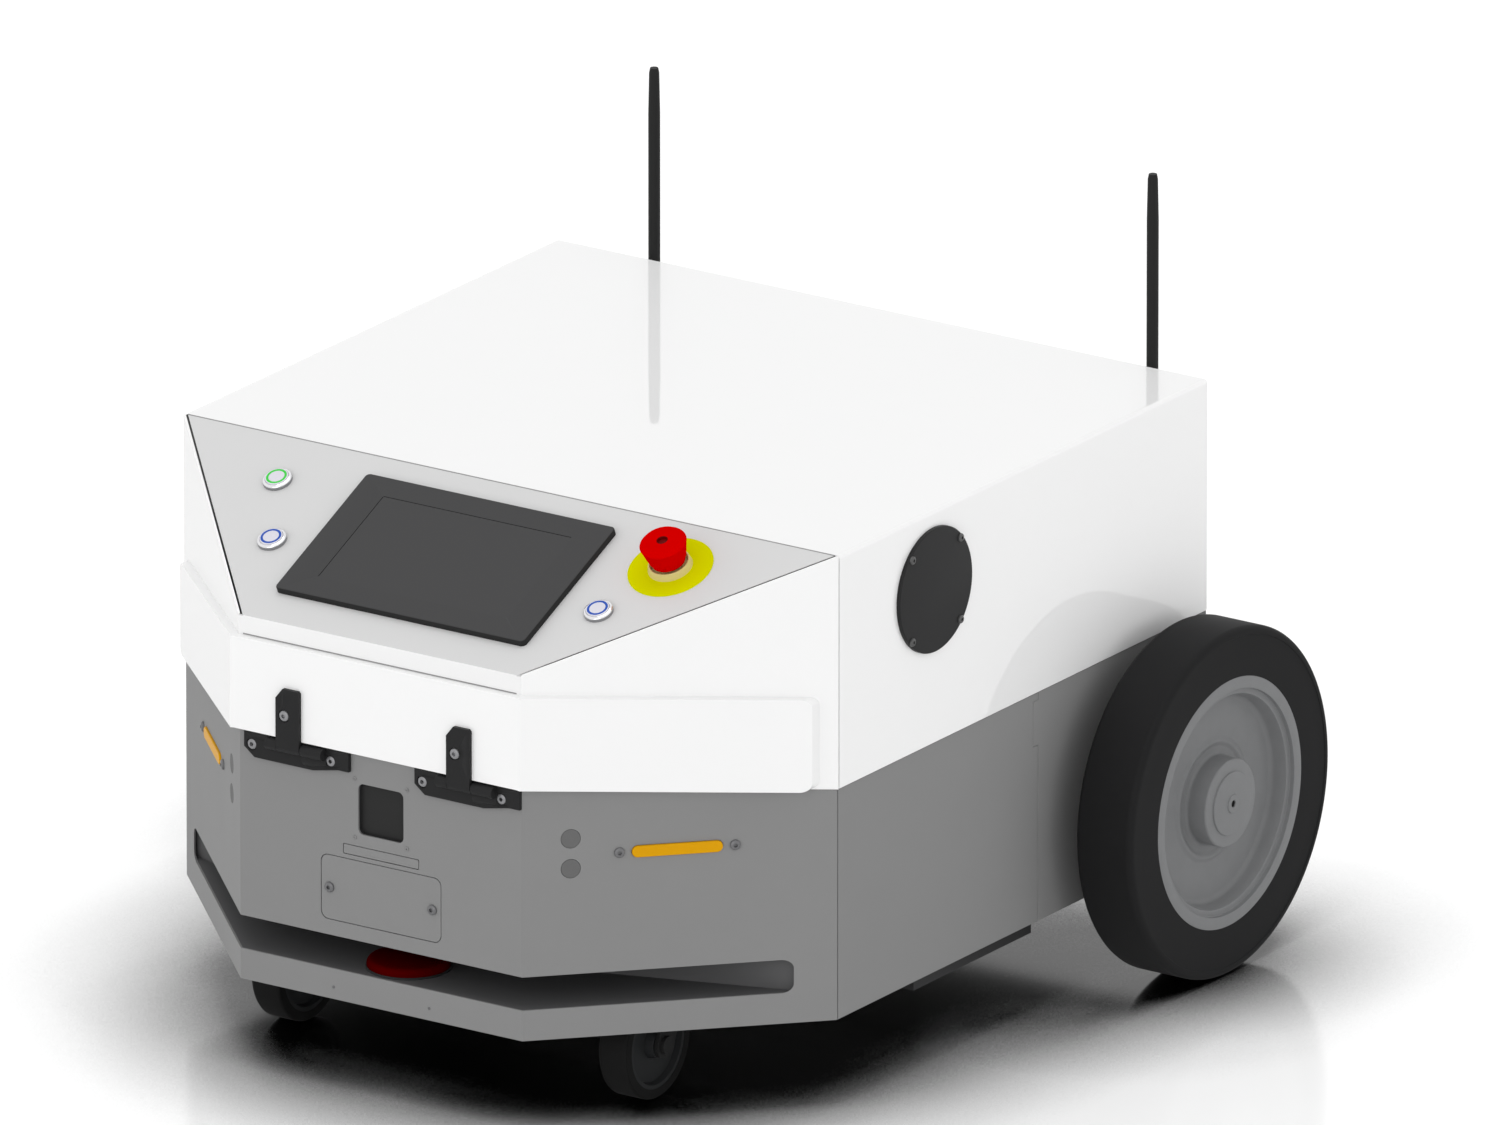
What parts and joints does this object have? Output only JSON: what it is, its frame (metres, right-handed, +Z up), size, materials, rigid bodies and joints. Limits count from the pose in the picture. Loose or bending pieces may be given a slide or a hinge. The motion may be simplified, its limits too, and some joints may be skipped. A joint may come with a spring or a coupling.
{
  "type": "autonomous mobile robot",
  "caption": "Low tow-tractor mobile robot with a tilting white hood, grey skirt with a scanner slot, sloping control panel, side drive wheels and front castors.",
  "frame": {"origin": "on the floor, under the middle of the outer box of the robot", "axes": "+Z up, the front with the scanner slot faces -Y, +X is the robot's side with the stop button"},
  "size_m": [0.947, 0.937, 0.735],
  "materials": {
    "grey_paint": "fine-texture powder coat",
    "white_paint": "gloss powder coat",
    "dark_steel": "satin black paint",
    "black_hinge": "satin black",
    "black_plastic": "fine texture",
    "scanner_red": "gloss",
    "camera_glass": "gloss tinted",
    "amber_lens": "gloss",
    "sonar_grey": "matt",
    "bright_steel": "zinc plated",
    "cast_aluminium": "cast",
    "rim_grey": "silver-grey paint",
    "tyre_rubber": "matt rubber",
    "castor_rubber": "matt",
    "castor_core": "matt",
    "screen_dark": "satin",
    "screen_glass": "anti-glare gloss",
    "stop_yellow": "semi-gloss",
    "stop_beige": "semi-gloss",
    "stop_red": "semi-gloss",
    "chrome_bezel": "polished",
    "button_white": "gloss"
  },
  "bodies": {
    "chassis": {"floor_plate": "dark_steel", "battery_tray": "dark_steel", "frame_bars": "dark_steel", "front_cover": "grey_paint", "side_cover_right": "grey_paint", "side_cover_left": "grey_paint", "motor_cover_right": "grey_paint", "motor_cover_left": "grey_paint", "rear_cover": "grey_paint", "scanner_bay": "dark_steel", "scanner_base": "black_plastic", "scanner_window": "scanner_red", "camera_case": "dark_steel", "camera_window": "camera_glass", "service_covers": "grey_paint", "indicator_lenses": "amber_lens", "sonar_discs": "sonar_grey", "hinge_lower_leaves": "black_hinge", "battery_packs": "black_plastic", "control_box": "black_plastic", "motor_drivers": "cast_aluminium", "drive_motors": "cast_aluminium", "gearboxes": "bright_steel", "axle_bearings": "bright_steel", "castor_mounts": "bright_steel", "tow_coupling": "dark_steel"},
    "hood": {"hood_shell": "white_paint", "hood_front": "white_paint", "control_panel": "white_paint", "front_band": "white_paint", "hinge_upper_leaves": "black_hinge", "screen_case": "screen_dark", "screen_glass": "screen_glass", "stop_disc": "stop_yellow", "stop_collar": "stop_beige", "button_bezels": "chrome_bezel", "side_caps": "black_plastic", "antenna_sockets": "black_plastic"},
    "wheel_right": {"tyre_right": "tyre_rubber", "rim_right": "rim_grey", "axle_right": "bright_steel"},
    "wheel_left": {"tyre_left": "tyre_rubber", "rim_left": "rim_grey", "axle_left": "bright_steel"},
    "castor_swivel_right": {"castor_fork_right": "bright_steel"},
    "castor_swivel_left": {"castor_fork_left": "bright_steel"},
    "castor_wheel_right": {"castor_core_right": "castor_core", "castor_tread_right": "castor_rubber"},
    "castor_wheel_left": {"castor_core_left": "castor_core", "castor_tread_left": "castor_rubber"},
    "start_button": {"start_button": "button_white"},
    "reset_button_right": {"reset_button_right": "button_white"},
    "reset_button_left": {"reset_button_left": "button_white"},
    "stop_stem": {"stop_stem": "stop_red"},
    "stop_head": {"stop_head": "stop_red"},
    "antenna_elbow_right": {"antenna_elbow_right": "black_plastic"},
    "antenna_elbow_left": {"antenna_elbow_left": "black_plastic"},
    "antenna_whip_right": {"antenna_whip_right": "black_plastic"},
    "antenna_whip_left": {"antenna_whip_left": "black_plastic"},
    "tow_pin": {"tow_pin": "bright_steel"}
  },
  "joints": [
    {"name": "hood_tilt", "type": "hinge", "parent": "chassis", "child": "hood", "pos_m": [0, -0.46245, 0.3365], "axis": [1, 0, 0], "range_deg": [0, 85]},
    {"name": "drive_wheel_right_spin", "type": "hinge", "parent": "chassis", "child": "wheel_right", "pos_m": [0.375, 0.29555, 0.173], "axis": [1, 0, 0], "continuous": true},
    {"name": "castor_right_swivel", "type": "hinge", "parent": "chassis", "child": "castor_swivel_right", "pos_m": [0.2, -0.26945, 0.055], "axis": [0, 0, 1], "continuous": true},
    {"name": "castor_right_spin", "type": "hinge", "parent": "castor_swivel_right", "child": "castor_wheel_right", "pos_m": [0.2, -0.30445, 0.055], "axis": [1, 0, 0], "continuous": true},
    {"name": "antenna_right_swivel", "type": "hinge", "parent": "hood", "child": "antenna_elbow_right", "pos_m": [0.288, 0.43255, 0.505], "axis": [0, 1, 0], "range_deg": [-170, 170]},
    {"name": "antenna_right_fold", "type": "hinge", "parent": "antenna_elbow_right", "child": "antenna_whip_right", "pos_m": [0.288, 0.43255, 0.505], "axis": [-1, 0, 0], "range_deg": [0, 90]},
    {"name": "drive_wheel_left_spin", "type": "hinge", "parent": "chassis", "child": "wheel_left", "pos_m": [-0.375, 0.29555, 0.173], "axis": [1, 0, 0], "continuous": true},
    {"name": "castor_left_swivel", "type": "hinge", "parent": "chassis", "child": "castor_swivel_left", "pos_m": [-0.2, -0.26945, 0.055], "axis": [0, 0, 1], "continuous": true},
    {"name": "castor_left_spin", "type": "hinge", "parent": "castor_swivel_left", "child": "castor_wheel_left", "pos_m": [-0.2, -0.30445, 0.055], "axis": [1, 0, 0], "continuous": true},
    {"name": "antenna_left_swivel", "type": "hinge", "parent": "hood", "child": "antenna_elbow_left", "pos_m": [-0.288, 0.43255, 0.505], "axis": [0, 1, 0], "range_deg": [-170, 170]},
    {"name": "antenna_left_fold", "type": "hinge", "parent": "antenna_elbow_left", "child": "antenna_whip_left", "pos_m": [-0.288, 0.43255, 0.505], "axis": [-1, 0, 0], "range_deg": [0, 90]},
    {"name": "start_button_press", "type": "slide", "parent": "hood", "child": "start_button", "axis": [0, 0.4094, -0.9123], "range_m": [0, 0.0025], "stiffness_N_per_m": 400, "springref_m": -0.002},
    {"name": "reset_button_right_press", "type": "slide", "parent": "hood", "child": "reset_button_right", "axis": [0, 0.4094, -0.9123], "range_m": [0, 0.0025], "stiffness_N_per_m": 400, "springref_m": -0.002},
    {"name": "reset_button_left_press", "type": "slide", "parent": "hood", "child": "reset_button_left", "axis": [0, 0.4094, -0.9123], "range_m": [0, 0.0025], "stiffness_N_per_m": 400, "springref_m": -0.002},
    {"name": "stop_press", "type": "slide", "parent": "hood", "child": "stop_stem", "axis": [0, 0.4094, -0.9123], "range_m": [0, 0.0045]},
    {"name": "stop_twist", "type": "hinge", "parent": "stop_stem", "child": "stop_head", "pos_m": [0.222, -0.2921, 0.53003], "axis": [0, 0.4094, -0.9123], "range_deg": [0, 45], "stiffness_Nm_per_rad": 0.02},
    {"name": "tow_pin_lift", "type": "slide", "parent": "chassis", "child": "tow_pin", "axis": [0, 0, 1], "range_m": [0, 0.056]}
  ]
}
